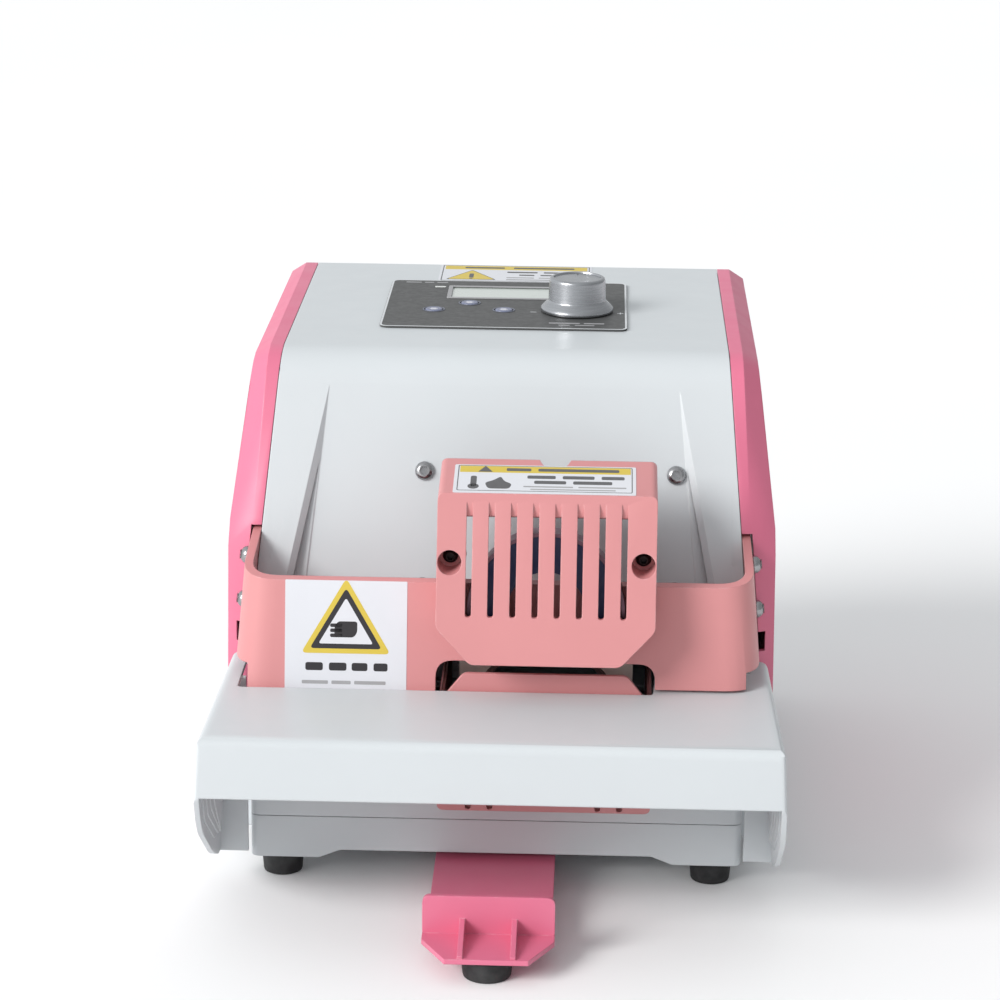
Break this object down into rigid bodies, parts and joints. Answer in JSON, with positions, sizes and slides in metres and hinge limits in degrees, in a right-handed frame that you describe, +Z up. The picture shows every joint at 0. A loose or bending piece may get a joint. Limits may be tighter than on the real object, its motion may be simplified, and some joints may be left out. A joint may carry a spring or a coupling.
{
  "type": "mug heat press",
  "caption": "Bench-top heat press for mugs: leaning housing with side covers, front band and slotted guards, pull-out drawer, anti-tip arm and top control panel with knob.",
  "frame": {"origin": "on the bench, under the middle of the outer box", "axes": "+Z up, the front and the pull-out drawer face -Y, +X to the operator's right"},
  "size_m": [0.329, 0.4752, 0.32],
  "materials": {
    "white_cover": "satin",
    "pink_cover": "satin",
    "salmon_cover": "satin",
    "black_rubber": "matte",
    "steel": "brushed",
    "screw_steel": "satin",
    "knob_metal": "satin",
    "panel_film": "satin",
    "display_window": "gloss",
    "key_cap": "satin",
    "blue_silicone": "matte",
    "clip_metal": "satin",
    "heater_metal": "matte",
    "insulation": "matte",
    "dark_plastic": "satin",
    "circuit_board": "satin",
    "brass_nut": "satin"
  },
  "bodies": {
    "housing": {"base_lower": "white_cover", "base_upper": "white_cover", "foot_front_left": "black_rubber", "foot_rear_left": "black_rubber", "foot_front_right": "black_rubber", "foot_rear_right": "black_rubber", "front_shell": "white_cover", "side_panel_right": "pink_cover", "side_panel_left": "pink_cover", "rear_panel": "white_cover", "band": "salmon_cover", "band_screw_left_upper": "screw_steel", "band_screw_left_lower": "screw_steel", "band_screw_right_upper": "screw_steel", "band_screw_right_lower": "screw_steel", "shell_screw_lower_left": "screw_steel", "shell_screw_lower_right": "screw_steel", "shell_screw_upper_left": "screw_steel", "shell_screw_upper_right": "screw_steel", "upper_guard": "salmon_cover", "guard_screw_left": "screw_steel", "guard_screw_right": "screw_steel", "end_seal": "blue_silicone", "seal_clip": "clip_metal", "guide_plate": "steel", "guide_rod_left": "steel", "guide_rod_right": "steel", "rod_foot_left": "steel", "rod_foot_right": "steel", "motor_plate": "steel", "head_motor": "dark_plastic", "drawer_rail_left": "steel", "drawer_rail_right": "steel", "stabiliser_guide": "steel", "panel_overlay": "panel_film", "display": "display_window", "knob_encoder": "dark_plastic", "control_board": "circuit_board", "power_supply": "steel", "power_inlet": "dark_plastic", "fuse_drawer": "dark_plastic"},
    "drawer": {"tray_cover": "white_cover", "lower_guard": "salmon_cover", "lower_heater": "heater_metal", "lower_saddle": "insulation", "tray_runner_left": "steel", "tray_runner_right": "steel"},
    "press_head": {"carriage": "steel", "screw_nut": "brass_nut", "upper_heater": "heater_metal", "upper_saddle": "insulation"},
    "screw_shaft": {"lead_screw": "steel"},
    "stabiliser": {"stabiliser_arm": "pink_cover", "stabiliser_foot": "black_rubber"},
    "knob_turn": {"knob": "knob_metal"},
    "key_left_cap": {"key_left": "key_cap"},
    "key_middle_cap": {"key_middle": "key_cap"},
    "key_right_cap": {"key_right": "key_cap"},
    "mains_switch": {"power_switch": "dark_plastic"}
  },
  "joints": [
    {"name": "tray_slide", "type": "slide", "parent": "housing", "child": "drawer", "axis": [0, -1, 0], "range_m": [0, 0.12]},
    {"name": "head_lift", "type": "slide", "parent": "housing", "child": "press_head", "axis": [0, 0, 1], "range_m": [0, 0.018]},
    {"name": "screw_spin", "type": "hinge", "parent": "housing", "child": "screw_shaft", "pos_m": [0.028, 0.00895, 0.2], "axis": [0, 0, 1], "range_deg": [-811, 0]},
    {"name": "stabiliser_slide", "type": "slide", "parent": "housing", "child": "stabiliser", "axis": [0, 1, 0], "range_m": [0, 0.09]},
    {"name": "knob_spin", "type": "hinge", "parent": "housing", "child": "knob_turn", "pos_m": [0.041, 0.10295, 0.31], "axis": [0, 0, 1], "continuous": true},
    {"name": "switch_rock", "type": "hinge", "parent": "housing", "child": "mains_switch", "pos_m": [-0.0605, 0.22495, 0.1535], "axis": [1, 0, 0], "range_deg": [0, 12]},
    {"name": "key_left_press", "type": "slide", "parent": "housing", "child": "key_left_cap", "axis": [0, 0, -1], "range_m": [0, 0.0005], "stiffness_N_per_m": 300},
    {"name": "key_middle_press", "type": "slide", "parent": "housing", "child": "key_middle_cap", "axis": [0, 0, -1], "range_m": [0, 0.0005], "stiffness_N_per_m": 300},
    {"name": "key_right_press", "type": "slide", "parent": "housing", "child": "key_right_cap", "axis": [0, 0, -1], "range_m": [0, 0.0005], "stiffness_N_per_m": 300}
  ],
  "couplings": [
    {"joint": "screw_spin", "follows": "head_lift", "rad_per_m": -785.4}
  ]
}
